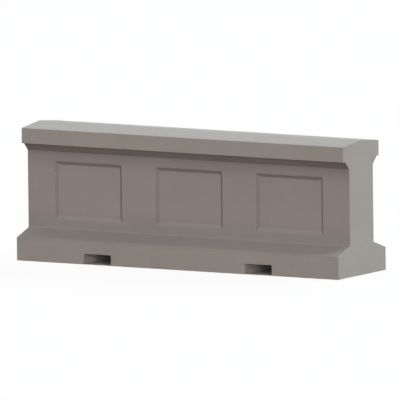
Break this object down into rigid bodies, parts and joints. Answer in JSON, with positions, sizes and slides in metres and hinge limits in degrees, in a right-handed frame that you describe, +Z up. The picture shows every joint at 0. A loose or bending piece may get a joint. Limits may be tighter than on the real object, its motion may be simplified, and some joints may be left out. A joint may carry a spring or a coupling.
{
  "type": "concrete barrier",
  "caption": "Precast concrete road barrier with a stepped foot, recessed face panels, a low gabled cap and open fork pockets, cast over a steel bar cage.",
  "frame": {"origin": "middle of the base, on the ground", "axes": "+X along the barrier towards its right end, +Y across it towards the back, +Z up"},
  "size_m": [2.4384, 0.6096, 0.889],
  "materials": {
    "concrete": "matte cast concrete, smooth from the form",
    "rebar": "dark mill scale with light rust",
    "spacer_plastic": "matte moulded plastic",
    "wire": "dark annealed wire"
  },
  "bodies": {
    "root": {"concrete_body": "concrete", "bar_chairs": "spacer_plastic", "cap_bar_back": "rebar", "cap_bar_front": "rebar", "cap_cross_bar_1": "rebar", "cap_cross_bar_10": "rebar", "cap_cross_bar_2": "rebar", "cap_cross_bar_3": "rebar", "cap_cross_bar_4": "rebar", "cap_cross_bar_5": "rebar", "cap_cross_bar_6": "rebar", "cap_cross_bar_7": "rebar", "cap_cross_bar_8": "rebar", "cap_cross_bar_9": "rebar", "eave_bar_back": "rebar", "eave_bar_front": "rebar", "foot_low_bar_back_left": "rebar", "foot_low_bar_back_middle": "rebar", "foot_low_bar_back_right": "rebar", "foot_low_bar_front_left": "rebar", "foot_low_bar_front_middle": "rebar", "foot_low_bar_front_right": "rebar", "foot_tie_1": "rebar", "foot_tie_10": "rebar", "foot_tie_2": "rebar", "foot_tie_3": "rebar", "foot_tie_4": "rebar", "foot_tie_5": "rebar", "foot_tie_6": "rebar", "foot_tie_7": "rebar", "foot_tie_8": "rebar", "foot_tie_9": "rebar", "foot_top_bar_back": "rebar", "foot_top_bar_front": "rebar", "pocket_saddle_left_back": "rebar", "pocket_saddle_left_front": "rebar", "pocket_saddle_right_back": "rebar", "pocket_saddle_right_front": "rebar", "stem_bar_back_1": "rebar", "stem_bar_back_2": "rebar", "stem_bar_back_3": "rebar", "stem_bar_back_4": "rebar", "stem_bar_front_1": "rebar", "stem_bar_front_2": "rebar", "stem_bar_front_3": "rebar", "stem_bar_front_4": "rebar", "stem_stirrup_1": "rebar", "stem_stirrup_10": "rebar", "stem_stirrup_2": "rebar", "stem_stirrup_3": "rebar", "stem_stirrup_4": "rebar", "stem_stirrup_5": "rebar", "stem_stirrup_6": "rebar", "stem_stirrup_7": "rebar", "stem_stirrup_8": "rebar", "stem_stirrup_9": "rebar", "tie_wires": "wire", "wheel_spacers": "spacer_plastic"}
  },
  "joints": []
}
